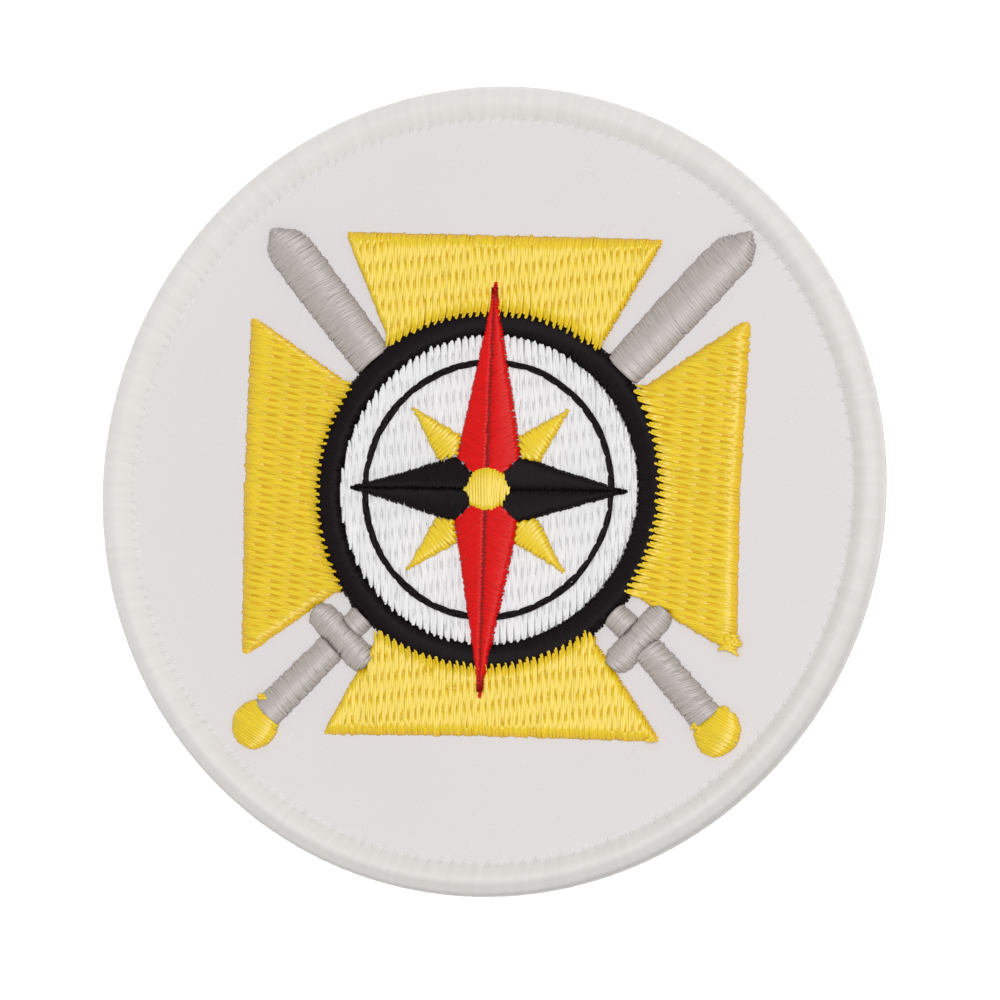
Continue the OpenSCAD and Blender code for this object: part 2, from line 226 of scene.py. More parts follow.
# Each arm: its node, the way that it points, the way of its thread, how far the thread takes to
# rise out of a hole, then its reach at the left and the right corner, how far its end dips
# between them, and its half widths at the end and root, as shares
ARMS = [
    ("arm_top", 90, 90, 0.5, 1.010, 0.988, 0.000, 0.945, 1.010, 1.010, 1.028),
    ("arm_left", 180, -11, 1.1, 0.985, 1.003, -0.010, 1.023, 1.020, 0.915, 0.945),
    ("arm_bottom", 270, 90, 0.5, 0.967, 0.969, 0.008, 1.100, 0.966, 1.055, 1.010),
    ("arm_right", 0, -11, 1.1, 1.027, 1.018, 0.015, 1.043, 0.945, 0.925, 0.915),
]
FILL_TOP = box_mm("disc")[1][2]
ARM_TOP = FILL_TOP - 0.06
FILL_REACH = 30.0       # how far from the middle rows are looked for
ROW_SAMPLES = 1600      # at how many places along a row the shape is looked up
EDGE_FOOT = 0.98        # the level at which the thread enters the cloth at a row's end
HOLE_FALL = 0.2         # how deep a hole lies for each millimetre of the thread's rise out of it
ROW_PITCH = 0.17
FILL_STITCH = 3.9
HOLE_LEAN = -0.14       # how far the lines of holes run on for each millimetre across the rows
THREAD_WIDE, THREAD_TALL = 0.35, 0.045
TOOTH_ROWS = 4
TOOTH_PULL = 0.5        # how far the rows of a tooth draw together at its tip
# The teeth over the round frame: the height and the rise of their tips, and how far they reach
LAP = (1.95, 0.9, 0.62)


def unit(bearing):
    """The way of a bearing in degrees, as x and y."""
    return np.array([np.cos(np.radians(bearing)), np.sin(np.radians(bearing))])


def threads(paths, wide, tall, rng, painted_shade=0.0, sides=6):
    """Threads as tubes along paths (threads x points x 3). A ring is an ellipse: its width
    lies level and square to the way, its height square to both. The tone is one random
    number a thread, u is the length run along it and v the turn round it from below. Each ring
    carries the painted shade given for its point, and the end caps take it whole."""
    count, steps = paths.shape[:2]
    along = np.gradient(paths, axis=1)
    across = np.stack([-along[..., 1], along[..., 0], np.zeros((count, steps))], -1)
    across /= np.linalg.norm(across, axis=-1, keepdims=True)
    lift = np.cross(along, across)
    lift /= np.linalg.norm(lift, axis=-1, keepdims=True)
    wide, tall, painted_shade = (np.broadcast_to(v, (count, steps)) for v in (wide, tall, painted_shade))
    turn = 2 * np.pi * np.arange(sides) / sides - np.pi / 2
    rings = (paths[:, :, None]
             + (wide[..., None] / 2 * np.cos(turn))[..., None] * across[:, :, None]
             + (tall[..., None] / 2 * np.sin(turn))[..., None] * lift[:, :, None])
    ring_count = count * steps * sides
    points = np.concatenate([rings.reshape(-1, 3), paths[:, 0], paths[:, -1]])
    one = grid_quads(steps, sides, closed_columns=True)
    first = np.arange(count)[:, None, None] * steps * sides
    side = np.arange(sides)
    after = (side + 1) % sides
    thread = np.arange(count)[:, None]
    start = np.stack(np.broadcast_arrays(ring_count + thread, thread * steps * sides + after,
                                         thread * steps * sides + side), -1)
    last = (thread + 1) * steps * sides - sides
    end = np.stack(np.broadcast_arrays(ring_count + count + thread, last + side, last + after), -1)
    run = np.cumsum(np.linalg.norm(np.diff(paths, axis=1, prepend=paths[:, :1]), axis=-1), 1)
    run = run + rng.uniform(0, 10, (count, 1))
    uv = np.stack(np.broadcast_arrays(run[..., None], np.arange(sides) / sides), -1).reshape(-1, 2)
    uv = np.concatenate([uv, np.zeros((2 * count, 2))])
    tone = rng.uniform(0, 1, count)
    return {"points": points, "quads": (one[None] + first).reshape(-1, 4),
            "triangles": np.concatenate([start.reshape(-1, 3), end.reshape(-1, 3)]), "uv": uv,
            "tone": np.concatenate([np.repeat(tone, steps * sides), tone, tone]),
            "painted_shade": np.concatenate([np.repeat(painted_shade.ravel(), sides), np.ones(2 * count)])}


def laid(start, end, top, foot, rise, rng, steps=11, bow=0.0):
    """Paths of thread laid straight from one needle hole to the next (each stitches x 2), and
    how far down each point lies for its nearness to the first and the last end. Points crowd
    towards both ends. The height is top, a function of the share run, less a drop to foot that
    fades by the square over the length rise. Foot and rise are pairs, one for each end."""
    share = (0.5 - 0.5 * np.cos(np.pi * np.arange(steps) / (steps - 1)))[None]
    chord = end - start
    length = np.linalg.norm(chord, axis=1)[:, None]
    side = np.stack([-chord[:, 1], chord[:, 0]], -1) / length
    off = rng.normal(0, 1, (len(start), 1)) * bow * np.sin(np.pi * share)
    plan = start[:, None] + chord[:, None] * share[..., None] + side[:, None] * off[..., None]
    level = np.broadcast_to(top(share), (len(start), steps))
    first_foot, last_foot, first_rise, last_rise = (
        np.broadcast_to(v, (len(start),))[:, None] for v in (*foot, *rise))
    first = np.clip(1 - share * length / first_rise, 0, 1) ** 2
    last = np.clip(1 - (1 - share) * length / last_rise, 0, 1) ** 2
    z = level - (level - first_foot) * first - (level - last_foot) * last
    return np.concatenate([plan, z[..., None]], -1), np.stack([first, last])


def fill(inside, bearing, reach, rng, level, rise, ring, lap):
    """A filled shape: level rows a pitch apart along a bearing, cut where they leave it. The
    thread turns back at each row's end, where two rows draw together. Each row is split into
    stitches, half a stitch on from one pair of rows to the next, whose thread rises out of the
    holes over the length rise. Ends that meet the ring's radius reach over it in teeth, two long
    rows between two short ones: lap gives their height, rise and length. Wider, lower threads
    pad the shape from below."""
    lap_top, lap_rise, lap_reach = lap
    way, side = unit(bearing), unit(bearing + 90)
    row = np.arange(int(2 * reach / ROW_PITCH))
    offset = -reach + row * ROW_PITCH + rng.normal(0, 0.015, len(row))
    run = np.linspace(-reach, reach, ROW_SAMPLES)
    spot = way * run[None, :, None] + side * offset[:, None, None]
    covered = inside(spot[..., 0], spot[..., 1])
    sewn = covered.any(1)
    row, offset, covered = row[sewn], offset[sewn], covered[sewn]
    begin, finish = run[covered.argmax(1)], run[len(run) - 1 - covered[:, ::-1].argmax(1)]
    ends = []
    for place, sign, turn in ((begin, -1, row % 2), (finish, 1, (row + 1) % 2)):
        far = np.maximum(np.hypot(place, offset), 0.1)
        over = np.abs(far - ring) < 0.4
        tooth = np.where((row + 1) % TOOTH_ROWS > 1, 1.0, 0.45) + rng.normal(0, 0.07, len(row))
        more = lap_reach * tooth * np.maximum(np.abs(place) / far, 0.4) * sign
        place = place + np.where(over, more, 0) + rng.normal(0, 0.05, len(row))
        inward = 0.5 * (TOOTH_ROWS - 1) - (row + TOOTH_ROWS - 1) % TOOTH_ROWS
        pull = np.where(over, TOOTH_PULL * inward, 0.1 * (1 - 2 * turn)) * ROW_PITCH
        ends.append((place, over, pull))
    (begin, begin_over, begin_pull), (finish, finish_over, finish_pull) = ends
    number = np.arange(-2, int(2 * reach / FILL_STITCH) + 3)
    phase = (row + 1) // 2 % 2 * 0.5 + HOLE_LEAN * offset / FILL_STITCH + rng.normal(0, 0.03, len(row))
    scatter = rng.normal(0, 0.02, (len(row), len(number)))
    holes = -reach + (number + phase[:, None] + scatter) * FILL_STITCH
    holes = np.clip(holes, begin[:, None], finish[:, None])
    holes[:, 0], holes[:, -1] = begin, finish
    shortest = 0.25 * FILL_STITCH
    near_end = (holes - begin[:, None] < shortest) | (finish[:, None] - holes < shortest)
    middle = 0.5 * (begin + finish)[:, None]
    holes = np.where(near_end, np.where(holes < middle, begin[:, None], finish[:, None]), holes)
    line, stitch = np.nonzero(np.diff(holes, axis=1) > 0.2)
    from_run, to_run = holes[line, stitch], holes[line, stitch + 1]
    is_first, is_last = from_run == begin[line], to_run == finish[line]
    from_offset = offset[line] + np.where(is_first, begin_pull[line], 0)
    to_offset = offset[line] + np.where(is_last, finish_pull[line], 0)
    start = way * from_run[:, None] + side * from_offset[:, None]
    end = way * to_run[:, None] + side * to_offset[:, None]
    both_ends = [(is_first, begin_over[line]), (is_last, finish_over[line])]
    feet = [np.where(edge, np.where(over, lap_top, EDGE_FOOT), level - HOLE_FALL * rise)
            for edge, over in both_ends]
    rises = [np.where(edge, np.where(over, lap_rise, 0.6 + 0.5 * rise), rise) for edge, over in both_ends]
    crest = level + rng.normal(0, 0.0025, (len(start), 1))
    paths, drop = laid(start, end, lambda share: crest + 0.02 * np.sin(np.pi * share), feet, rises, rng,
                       9, bow=0.02)
    thin = [np.where(edge, np.where(over, 0.5, 0.1), 0.4) for edge, over in both_ends]
    wide = THREAD_WIDE * (1 - (np.array(thin)[..., None] * drop).max(0))
    # Painted shade where the thread dives into a hole or the cloth, and only a tenth of it at the tips of
    # the teeth over the frame
    shade_share = [np.where(edge & over, 0.1, 1) for edge, over in both_ends]
    strands = threads(paths, wide, THREAD_TALL, rng, (np.array(shade_share)[..., None] * drop).max(0))
    keep = (finish - begin > 1.6) & (row % 3 == 0)
    inset = np.where([begin_over, finish_over], 0.7 * lap_reach - 0.2, 0.35)[:, keep]
    under_start = way * (begin[keep] + inset[0])[:, None] + side * offset[keep][:, None]
    under_end = way * (finish[keep] - inset[1])[:, None] + side * offset[keep][:, None]
    under, _ = laid(under_start, under_end, lambda share: np.full_like(share, level - 0.1),
                    (EDGE_FOOT, EDGE_FOOT), (0.4, 0.4), rng, 8)
    # The padding lies in the gaps under the top threads and takes painted shade there
    padding = threads(under, ROW_PITCH * 4, 0.1, rng, 0.7)
    return [strands, padding]


def point_value(tree, name):
    """The number of one name that each point of a mesh holds."""
    return shader_node(tree, "ShaderNodeAttribute", attribute_name=name).outputs["Fac"]


def thread_material(name, colour, shade, roughness=0.5, gloss=0.9, relief=0.014, ior=1.65,
                    along=0.95):
    """Twisted embroidery thread. Two plies wind round it, so its height is a sine of twice the
    turn plus the length over the lay, times the relief in millimetres, with fine fibres drawn
    out along it. Painted shade takes it towards the shade colour in the ply grooves, on its flanks
    and where it dives into the cloth, by the painted shade that each point holds, and no two
    threads match quite. Its fibres spread the gloss across the thread and hardly along it, the
    more so the nearer along is to 1."""
    lay = 1.6
    tree, shader, material = new_material(name)
    run = shader_node(tree, "ShaderNodeSeparateXYZ", {0: shader_node(tree, "ShaderNodeUVMap").outputs[0]})
    tone = point_value(tree, "tone")
    wound = maths(tree, "MULTIPLY_ADD", run.outputs[0], 2 * np.pi / lay,
                  maths(tree, "MULTIPLY", run.outputs[1], 4 * np.pi))
    ply = maths(tree, "MULTIPLY_ADD", maths(tree, "SINE", wound), 0.5, 0.5)
    drawn = shader_node(tree, "ShaderNodeCombineXYZ", {
        0: maths(tree, "MULTIPLY", run.outputs[0], 1.8), 1: maths(tree, "MULTIPLY", run.outputs[1], 16),
        2: maths(tree, "MULTIPLY", tone, 40)})
    height = maths(tree, "MULTIPLY_ADD", noise(tree, drawn.outputs[0], 1.6, 2), 0.4, ply)
    bump = shader_node(tree, "ShaderNodeBump", {"Height": height, "Strength": 1.0, "Distance": relief * MM})
    # Painted shade: the ply grooves, the flanks and each point's painted shade darken the colour towards the
    # shade colour
    groove = maths(tree, "MULTIPLY_ADD", ply, -0.2, 0.2)
    flank = maths(tree, "ABSOLUTE", maths(tree, "MULTIPLY_ADD", run.outputs[1], 2, -1))
    shaded = maths(tree, "MULTIPLY_ADD", flank, 0.2, groove)
    shade_share = maths(tree, "MULTIPLY_ADD", point_value(tree, "painted_shade"), 0.7, shaded)
    lightness = maths(tree, "MULTIPLY_ADD", tone, 0.1, 0.95)
    dyed = shader_node(tree, "ShaderNodeHueSaturation", {
        "Value": lightness, "Color": blend(tree, shade_share, colour, shade)})
    lie = shader_node(tree, "ShaderNodeTangent", direction_type="UV_MAP", uv_map="UVMap")
    set_inputs(tree, shader, {
        "Base Color": dyed.outputs[0], "Normal": bump.outputs[0], "Tangent": lie.outputs[0],
        "Roughness": roughness, "Specular IOR Level": gloss, "IOR": ior, "Anisotropic": along,
        "Anisotropic Rotation": 0.25})
    return material


GUARD_LONG, GUARD_WIDE = 7.1, 2.8
# The bearing of each crossguard and how far out its middle lies
GUARDS = [(225.4, FRAME_R + 2.65), (317.7, FRAME_R + 3.19)]


def guard_clear(x, y):
    """Where a point is clear of both crossguards: outside a bar with round ends."""
    clear = np.ones(np.shape(x), bool)
    for bearing, guard_at in GUARDS:
        way, side = unit(bearing), unit(bearing + 90)
        out = x * way[0] + y * way[1] - guard_at
        over = x * side[0] + y * side[1]
        clear &= np.hypot(out, np.maximum(np.abs(over) - GUARD_LONG / 2 + 0.9, 0)) > GUARD_WIDE / 2 - 0.3
    return clear


def arm_shape(pointing, reach_a, reach_b, dip, end_a, end_b, root_a, root_b):
    """Whether a point lies in an arm. In the arm's own directions, out and over, it is inside
    two slanting sides and an end that may dip, and outside the frame and the crossguards."""
    way, side = unit(pointing), unit(pointing + 90)

    def half_width(out, reach, end, root):
        more = ARM_END * end - ARM_ROOT * root
        return ARM_ROOT * root + more * (out - ROOT_AT) / (ARM_REACH * reach - ROOT_AT)

    def inside(x, y):
        out, over = x * way[0] + y * way[1], x * side[0] + y * side[1]
        left = half_width(out, reach_a, end_a, root_a)
        right = half_width(out, reach_b, end_b, root_b)
        corners = [-ARM_END * end_b, 0, ARM_END * end_a]
        ends = [ARM_REACH * reach_b, ARM_REACH * ((reach_a + reach_b) / 2 - dip), ARM_REACH * reach_a]
        limit = np.interp(over, corners, ends)
        near_frame = np.hypot(x, y) > FRAME_R - 0.12
        return (over < left) & (over > -right) & (out < limit) & (out > 0) & near_frame & guard_clear(x, y)

    return inside


def tie_off(x, y, bearing, long, wide, level, rng):
    """Where a thread is fastened off: a few short stitches sewn over one another about a
    point, within a patch as long and as wide as given, each turned a little from the bearing."""
    count = int(wide * long / 0.08) + 2
    way, side = unit(bearing), unit(bearing + 90)
    turned = way + side * rng.normal(0, 0.22, (count, 1))
    middle = np.array([x, y]) + rng.uniform(-0.5, 0.5, (count, 1)) * wide * side
    middle = middle + rng.uniform(-0.25, 0.25, (count, 1)) * long * way
    half = turned * long / 2 * rng.uniform(0.4, 0.75, (count, 1))
    crest = level + rng.uniform(-0.04, 0.04, (count, 1))
    paths, drop = laid(middle - half, middle + half, lambda share: crest + 0.08 * np.sin(np.pi * share),
                       (level - 0.4, level - 0.4), (0.35, 0.35), rng)
    # The thread takes painted shade where it dives
    return threads(paths, 0.32 * (1 - 0.3 * drop.max(0)), 0.12, rng, drop.max(0) * 0.5)


# The corner of an arm where its thread is fastened off: x, y, bearing, length and width
TIE_OFFS = {"arm_right": (23.9, -13.9, -14, 1.8, 1.5), "arm_bottom": (16.6, -22.9, -22, 1.1, 0.7)}

yellow = thread_material("yellow_thread", linear(252, 220, 6), linear(245, 190, 0),
                         roughness=0.36, gloss=1.0, relief=0.011, ior=1.55)
for number, (node, pointing, bearing, rise, *shape) in enumerate(ARMS):
    rng = np.random.default_rng(100 + number)
    rows = fill(arm_shape(pointing, *shape), bearing, FILL_REACH, rng, ARM_TOP, rise, FRAME_R, LAP)
    if node in TIE_OFFS:
        rows.append(tie_off(*TIE_OFFS[node], FILL_TOP, rng))
    piece(node + "_fill", rows, yellow, "thread_yellow", node)


# The disc
# The white field inside the frame: one filled shape sewn up and down in white thread, its
# thread ends running a little under the frame's inner edge.
DISC_R = box_mm("disc")[1][0]
DISC_LAP = (1.6, 0.5, 0.3)
DISC_BEARING, DISC_REACH, DISC_RISE = 93, 16.0, 0.6
white = thread_material("white_thread", linear(246, 245, 246), linear(234, 234, 237), gloss=0.6, ior=1.5)
rows = fill(lambda x, y: np.hypot(x, y) < DISC_R, DISC_BEARING, DISC_REACH, np.random.default_rng(200),
            ARM_TOP, DISC_RISE, DISC_R, DISC_LAP)
piece("disc_fill", rows, white, "thread_white", "disc")


# The swords
# Two crossed swords in silver-grey thread, laid as satin: one thread goes to and fro across
# each part, edge to edge, over padding that crowns it. The blades show above the frame and the
# hilts below it. The pommels are sewn last, in the yellow of the cross.
SWORD_R = 34.4
SATIN_PITCH = 0.34
SILVER_PITCH = 0.25
SATIN_WIDE, SATIN_TALL = 0.36, 0.05
SATIN_FOOT = CLOTH_TOP - 0.02
SATIN_LOW, SATIN_EDGE, SATIN_CREST = 1.05, 1.22, 1.88
NARROW_SHARE = 0.35     # the share of a column's height that is left where it narrows to nothing
BLADE_HALF, FORTE_HALF, GRIP_HALF, GRIP_END_HALF = 2.15, 1.3, 1.45, 1.6
POMMEL_R, POMMEL_FLAT, POMMEL_PITCH = 2.25, 0.75, 0.25
POMMEL_LOW, POMMEL_CROWN = 1.15, 0.62
TIE_TOP = 1.75          # the level of the tie-offs beside the pommels
# Outlines: the place along a part, and the half widths to its left and right, as shares
BLADE_RIGHT = np.array([
    (0.00, 0.88, 0.90), (0.20, 0.95, 0.98), (0.50, 1.00, 1.00), (0.75, 1.00, 0.97), (0.86, 0.95, 0.97),
    (0.89, 0.83, 0.94), (0.92, 0.62, 0.80), (0.96, 0.42, 0.56), (1.00, 0.10, 0.08)])
BLADE_LEFT = np.array([
    (0.00, 0.88, 0.90), (0.20, 0.95, 0.96), (0.50, 1.00, 1.00), (0.75, 1.00, 1.00), (0.83, 1.00, 0.95),
    (0.87, 0.98, 0.90), (0.91, 0.90, 0.74), (0.95, 0.68, 0.47), (1.00, 0.20, 0.05)])
STRAIGHT = np.array([(0, 1, 1), (1, 1, 1)])
ROUND_ENDS = np.array([
    (0.00, 0.62, 0.62), (0.06, 0.90, 0.90), (0.14, 1.00, 1.00),
    (0.86, 1.00, 1.00), (0.94, 0.90, 0.90), (1.00, 0.62, 0.62)])


def satin(left, right, crest, edge, foot, rng, ragged=0.04, rise=0.3, crown=0.5):
    """Satin between two rows of needle holes (each n x 2), the right ones half a pitch ahead:
    thread goes left, right, next left and so on. It rises steeply from both edges and is
    crowned between them from edge up to crest (one number or one a stitch): as a half ellipse
    where crown is 0.5, and flatter towards the edges the larger it is."""
    count = len(left)
    left = left + rng.normal(0, ragged, left.shape)
    right = right + rng.normal(0, ragged, right.shape)
    holes = np.stack([left, right], 1).reshape(-1, 2)
    crest = np.repeat(np.broadcast_to(crest, (count,)), 2)[:-1, None]
    edge = np.repeat(np.broadcast_to(edge, (count,)), 2)[:-1, None]
    foot = np.repeat(np.broadcast_to(foot, (count,)), 2)
    lie = rng.normal(0, 0.003, crest.shape)

    def top(share):
        return edge + (crest - edge) * (1 - (2 * share - 1) ** 2) ** crown + lie - SATIN_TALL / 2

    paths, drop = laid(holes[:-1], holes[1:], top, (foot[:-1], foot[1:]), (rise, rise), rng, 13)
    inset = 0.06 * (holes[1:] - holes[:-1])[::2]
    under, _ = laid(holes[:-1:2] + inset, holes[1::2] - inset, lambda share: top(share)[::2] - 0.09,
                    (foot[:-1:2], foot[1::2]), (rise, rise), rng, 7)
    drop = drop.max(0)
    # The thread takes painted shade where it dives at the edges, and the padding under it takes some all
    # over
    return [threads(paths, SATIN_WIDE * (1 - 0.2 * drop), SATIN_TALL, rng, drop * 0.9),
            threads(under, 0.6, 0.1, rng, 0.3)]


def column(start, end, outline, half_start, half_end, slant, rng, crown=0.7):
    """A satin column from start to end. Its half width runs evenly from one end's to the
    other's, times the outline's share there. The holes are a pitch apart along it, those on
    the right drawn back and those on the left pushed on by the slant, in degrees, that fades
    out at both ends. Where the column narrows it lies lower."""
    length = np.linalg.norm(end - start)
    way = (end - start) / length
    side = np.array([-way[1], way[0]])
    count = int(length / SILVER_PITCH)
    lean = np.tan(np.radians(slant))

    def half_width(place, share):
        even = half_start + (half_end - half_start) * place
        return even * np.interp(place, outline[:, 0], outline[:, share])

    def edge(place, share, sign):
        pushed = sign * lean * half_width(place, share) / length * np.sqrt(np.sin(np.pi * place))
        place = np.clip(place + pushed, 0, 1)
        half = half_width(place, share)
        return start + way * (place * length)[:, None] + side * (sign * half)[:, None], half

    place = (np.arange(count) + 0.25) / count
    left, half_left = edge(place, 1, 1)
    right, half_right = edge(place + 0.5 / count, 2, -1)
    low = np.minimum(1, NARROW_SHARE + np.maximum(half_left, half_right) / max(half_start, half_end))
    crest, edges = (SATIN_LOW + (level - SATIN_LOW) * low for level in (SATIN_CREST, SATIN_EDGE))
    return satin(left, right, crest, edges, SATIN_FOOT, rng, crown=crown)


def pommel(middle, axis, bearing, rng):
    """A round cap of satin whose thread runs along a bearing. Each chord ends at the circle, or
    at the flat that cuts the circle off towards the grip, against the way of the axis."""
    way, side = unit(bearing), unit(bearing + 90)
    count = int(2 * POMMEL_R / POMMEL_PITCH)

    def ends(offset):
        half = np.sqrt(np.maximum(POMMEL_R ** 2 - offset ** 2, 0.01))
        cut = np.clip((-POMMEL_R * POMMEL_FLAT - offset * (side @ axis)) / (way @ axis), -half, half)
        low, high = (cut, np.inf) if way @ axis > 0 else (-np.inf, cut)
        return [middle + way * np.clip(at, low, high)[:, None] + side * offset[:, None]
                for at in (-half, half)]

    offset = (np.arange(count) + 0.5) / count * 2 * POMMEL_R - POMMEL_R
    left, right = ends(offset)[0], ends(offset + 0.5 * POMMEL_PITCH)[1]
    share = np.sqrt(np.maximum(1 - (offset / POMMEL_R) ** 2, 0))
    long = np.linalg.norm(right - left, axis=1) > 0.5
    left, right, share = left[long], right[long], share[long]
    crest = POMMEL_LOW + (SATIN_CREST - POMMEL_LOW) * share
    return satin(left, right, crest, crest - POMMEL_CROWN * share, SATIN_FOOT, rng, ragged=0.03)


silver = thread_material("silver_thread", linear(194, 185, 180), linear(150, 139, 133),
                         roughness=0.5, gloss=1.0, relief=0.012, ior=1.7, along=0.7)
BLADES = [("blade_right", 42.65, 44.85, 1.0, BLADE_RIGHT), ("blade_left", 134.5, 132.1, 0.957, BLADE_LEFT)]
for number, (node, root_bearing, tip_bearing, reach, outline) in enumerate(BLADES):
    rng = np.random.default_rng(300 + number)
    start = unit(root_bearing) * (FRAME_R - 0.15)
    end = unit(tip_bearing) * SWORD_R * reach
    rows = column(start, end, outline, BLADE_HALF, BLADE_HALF, 9, rng, crown=0.8)
    piece(node + "_satin", rows, silver, "thread_silver", node)

# Each hilt: its side, its guard's bearing and distance, its pommel's bearing, its reach, the
# slant of its grip's thread, the way of its pommel's, and the tie-off beside its pommel
HILTS = [("left", *GUARDS[0], 225.5, 0.98, 8, -32, (-21.3, -19.9, 10, 1.0, 0.5)),
         ("right", *GUARDS[1], 315.9, 0.99, 24, -25, (20.9, -21.9, 60, 0.9, 0.8))]
for number, (hand, guard_bearing, guard_at, pommel_bearing, reach, slant, lie_way, tail) in enumerate(HILTS):
    rng = np.random.default_rng(320 + number)
    guard_mid = unit(guard_bearing) * guard_at
    pommel_mid = unit(pommel_bearing) * (SWORD_R * reach - POMMEL_R)
    forte_start = unit(guard_bearing) * (FRAME_R - 0.1)
    forte_end = guard_mid - unit(guard_bearing) * (GUARD_WIDE / 2)
    rows = column(forte_start, forte_end, STRAIGHT, FORTE_HALF, FORTE_HALF, 6, rng)
    piece(f"forte_{hand}_satin", rows, silver, "thread_silver", "forte_" + hand)
    across = unit(guard_bearing + 90) * GUARD_LONG / 2
    rows = column(guard_mid - across, guard_mid + across, ROUND_ENDS, GUARD_WIDE / 2, GUARD_WIDE / 2, 0, rng)
    piece(f"guard_{hand}_satin", rows, silver, "thread_silver", "guard_" + hand)
    way = (pommel_mid - guard_mid) / np.linalg.norm(pommel_mid - guard_mid)
    grip_start = guard_mid + way * (GUARD_WIDE / 2)
    grip_end = pommel_mid - way * (POMMEL_R * POMMEL_FLAT - 0.15)
    rows = column(grip_start, grip_end, STRAIGHT, GRIP_HALF, GRIP_END_HALF, slant, rng)
    piece(f"grip_{hand}_satin", rows, silver, "thread_silver", "grip_" + hand)
    rows = pommel(pommel_mid, way, lie_way, rng)
    rows.append(tie_off(*tail, TIE_TOP, rng))
    piece(f"pommel_{hand}_satin", rows, yellow, "thread_yellow", "pommel_" + hand)


# The round frame
# A ring of black satin sewn over the ends of the cross and the disc. Its thread runs in and
# out like spokes, so the holes stand closer on the inside than on the outside.
INSIDE_R = DISC_R + 0.05
FRAME_TOP = box_mm("round_frame")[1][2]
FRAME_EDGE = 1.3
black = thread_material("black_thread", linear(28, 21, 24), linear(14, 10, 12),
                        roughness=0.6, gloss=0.18, ior=1.45)
rng = np.random.default_rng(400)
count = round(np.pi * (FRAME_R + INSIDE_R) / SATIN_PITCH)
angle = 2 * np.pi * np.arange(count + 1)[:, None] / count
half_on = angle + np.pi / count
inner = INSIDE_R * np.concatenate([np.cos(angle), np.sin(angle)], 1)
outer = FRAME_R * np.concatenate([np.cos(half_on), np.sin(half_on)], 1)
rows = satin(inner, outer, FRAME_TOP, FRAME_EDGE, SATIN_FOOT, rng, ragged=0.05, rise=0.55)
piece("round_frame_satin", rows, black, "thread_black", "round_frame")


# The thin circle
# A line of black running stitch on the disc, sewn round twice so that the second round's
# stitches cover the first one's holes.
LINE_R = 12.0
LINE_TOP = box_mm("circle_line")[1][2]
LINE_STITCHES = 44
rng = np.random.default_rng(410)
rows = []
for pass_number, radius in enumerate((LINE_R - 0.13, LINE_R + 0.13)):
    angle = 2 * np.pi * (np.arange(LINE_STITCHES + 1) + pass_number / 2) / LINE_STITCHES
    holes = radius * np.stack([np.cos(angle), np.sin(angle)], 1) + rng.normal(0, 0.03, (len(angle), 2))
    paths, drop = laid(holes[:-1], holes[1:], lambda share: np.full_like(share, LINE_TOP - 0.12),
                       (FILL_TOP - 0.1, FILL_TOP - 0.1), (0.4, 0.4), rng)
    # The thread takes painted shade where it dives into the disc
    rows.append(threads(paths, 0.42 * (1 - 0.3 * drop.max(0)), 0.22, rng, drop.max(0)))
piece("circle_line_stitches", rows, black, "thread_black", "circle_line")


# The star
# Eight points of satin over the disc. The two long red ones, which reach over the frame, and the
# two black ones are each sewn in two halves that meet at a ridge, slanting like a leaf's veins.
# The four short yellow ones are plain satin, and a yellow hub covers the ends at the middle.
NOTCH = 4.4 * np.sqrt(0.5)
LONG_REACH = box_mm("star_north")[1][1]
MID_REACH = box_mm("star_east")[1][0]
STAR_EDGE, STAR_RIDGE = 2.0, 2.3
VEIN = np.tan(np.radians(62))


def leaf_half(bearing, reach, sign, rng):
    """One half of a large point, in its own directions out and over. Holes stand a pitch apart
    along the ridge, and each thread slants out to the edge, the line from the notch to the
    tip, or where that lies inside the notch to the line at 45 degrees from the middle. A
    padding thread runs under the ridge."""
    count = int(reach / SATIN_PITCH)
    out = np.linspace(0.6, reach - 0.25, count)
    slope = NOTCH / (reach - NOTCH)
    at = out + 0.5 * SATIN_PITCH
    edge_out = (slope * reach + at * VEIN) / (VEIN + slope)
    base_out = at * VEIN / (VEIN - 1)
    edge_out = np.minimum(np.where(edge_out > NOTCH, edge_out, np.minimum(base_out, NOTCH)), reach)
    edge_over = np.where(edge_out > NOTCH, slope * (reach - edge_out), edge_out)
    way, side = unit(bearing), unit(bearing + 90) * sign
    ridge = way * out[:, None] + side * rng.normal(0.02, 0.03, (count, 1))
    edge = way * edge_out[:, None] + side * edge_over[:, None]
    ridge = ridge + rng.normal(0, 0.02, ridge.shape)
    edge = edge + rng.normal(0, 0.035, edge.shape)
    holes = np.stack([ridge, edge], 1).reshape(-1, 2)
    from_ridge = np.arange(len(holes) - 1) % 2 == 0
    crest = (STAR_RIDGE + (STAR_EDGE - STAR_RIDGE) * np.repeat(out, 2)[:-1] / reach)[:, None]
    ridge_foot = np.repeat(crest.ravel()[::2], 2)[:len(holes)] - 0.28
    foot = np.where(np.arange(len(holes)) % 2 == 0, ridge_foot, FILL_TOP)
    lie = rng.normal(0, 0.008, crest.shape)

    def top(share):
        inward = np.where(from_ridge[:, None], share, 1 - share)
        return crest + (STAR_EDGE - crest) * inward + 0.09 * np.sin(np.pi * share) + lie - 0.08

    paths, drop = laid(holes[:-1], holes[1:], top, (foot[:-1], foot[1:]), (0.3, 0.3), rng, 12)
    run = np.linspace(0.8, reach - 0.6, 24)[:, None]
    height = STAR_RIDGE - 0.16 + (STAR_EDGE - STAR_RIDGE) * run / reach
    # The padding under the ridge, and the thread where it dives, take painted shade
    padding = threads(np.concatenate([way * run, height], 1)[None], 0.7, 0.16, rng, 0.8)
    return [threads(paths, 0.36 * (1 - 0.2 * drop.max(0)), 0.08, rng, drop.max(0) * 0.4), padding]


